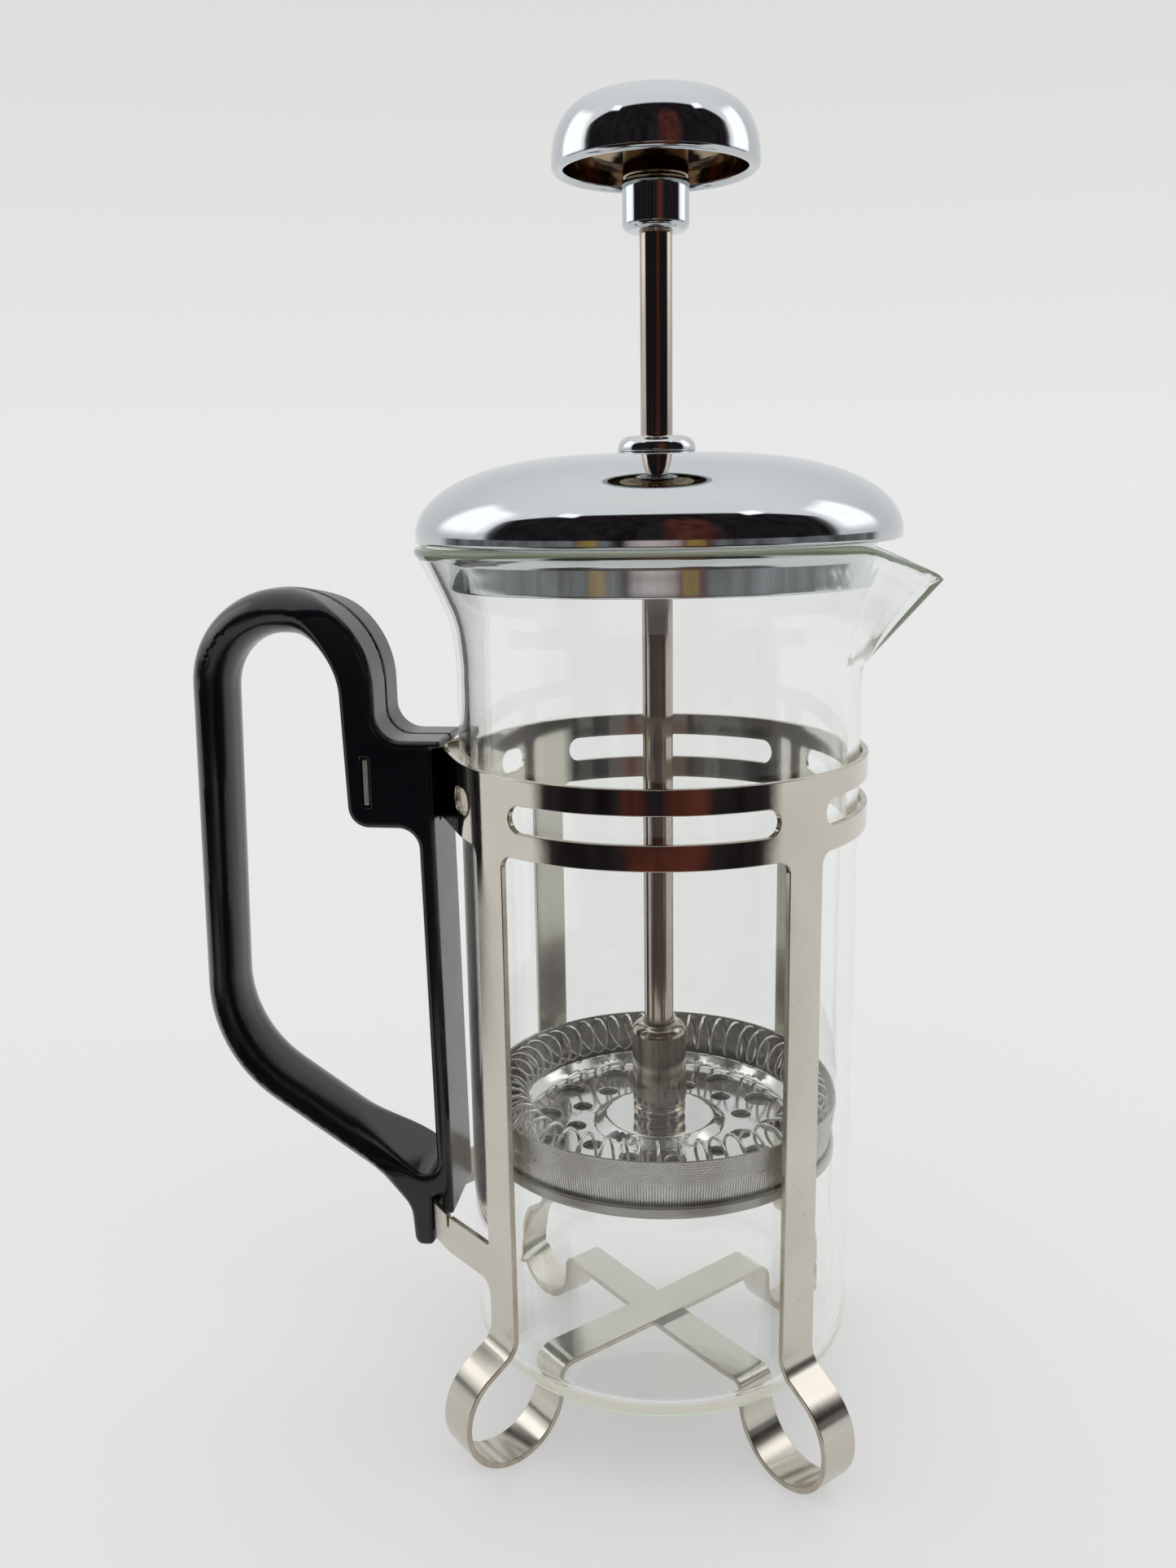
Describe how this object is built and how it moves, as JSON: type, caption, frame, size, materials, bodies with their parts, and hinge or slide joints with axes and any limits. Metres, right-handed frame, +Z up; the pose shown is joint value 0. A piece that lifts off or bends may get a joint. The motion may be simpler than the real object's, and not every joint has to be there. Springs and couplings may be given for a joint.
{
  "type": "french press",
  "caption": "Small french press: flared glass beaker in a legged steel band with a black loop handle, domed chrome lid, mushroom knob and spring filter.",
  "frame": {"origin": "on the beaker's axis, on the plane that the four rolled feet stand on", "axes": "+Z up along the plunger rod, +X towards the spout, -X towards the handle"},
  "size_m": [0.1245, 0.0766, 0.2146],
  "materials": {
    "stainless_frame": "satin stainless sheet",
    "black_plastic": "glossy moulded black",
    "glass": "clear, faint green at the rim",
    "chrome": "mirror polished",
    "polished_rod": "drawn and polished",
    "plain_steel": "fine brushed",
    "spring_wire": "bright drawn wire",
    "woven_mesh": "fine woven wire"
  },
  "bodies": {
    "frame": {"frame_band": "stainless_frame", "leg_handle_right": "stainless_frame", "leg_handle_left": "stainless_frame", "leg_spout_right": "stainless_frame", "leg_spout_left": "stainless_frame", "base_strap_upper": "stainless_frame", "base_strap_lower": "stainless_frame", "handle_bracket": "stainless_frame", "handle": "black_plastic", "handle_lock_plate": "plain_steel"},
    "beaker": {"glass_beaker": "glass"},
    "lid": {"lid_dome": "chrome", "lid_skirt": "chrome", "lid_collar": "chrome", "lid_retaining_nut": "plain_steel"},
    "plunger": {"plunger_rod": "polished_rod", "knob_cap": "chrome", "knob_boss": "chrome", "knob_sleeve": "chrome"},
    "filter": {"filter_hub": "plain_steel", "spring_plate": "plain_steel", "filter_spring": "spring_wire", "filter_mesh": "woven_mesh", "cross_plate": "plain_steel", "filter_stud": "plain_steel"}
  },
  "joints": [
    {"name": "beaker_lift", "type": "slide", "parent": "frame", "child": "beaker", "axis": [0, 0, 1], "range_m": [0, 0.115]},
    {"name": "lid_lift", "type": "slide", "parent": "beaker", "child": "lid", "axis": [0, 0, 1], "range_m": [0, 0.14]},
    {"name": "plunger_slide", "type": "slide", "parent": "lid", "child": "plunger", "axis": [0, 0, 1], "range_m": [-0.0297, 0.09]},
    {"name": "filter_unscrew", "type": "hinge", "parent": "plunger", "child": "filter", "pos_m": [0, 0, 0.052], "axis": [0, 0, 1], "range_deg": [0, 1800]}
  ]
}
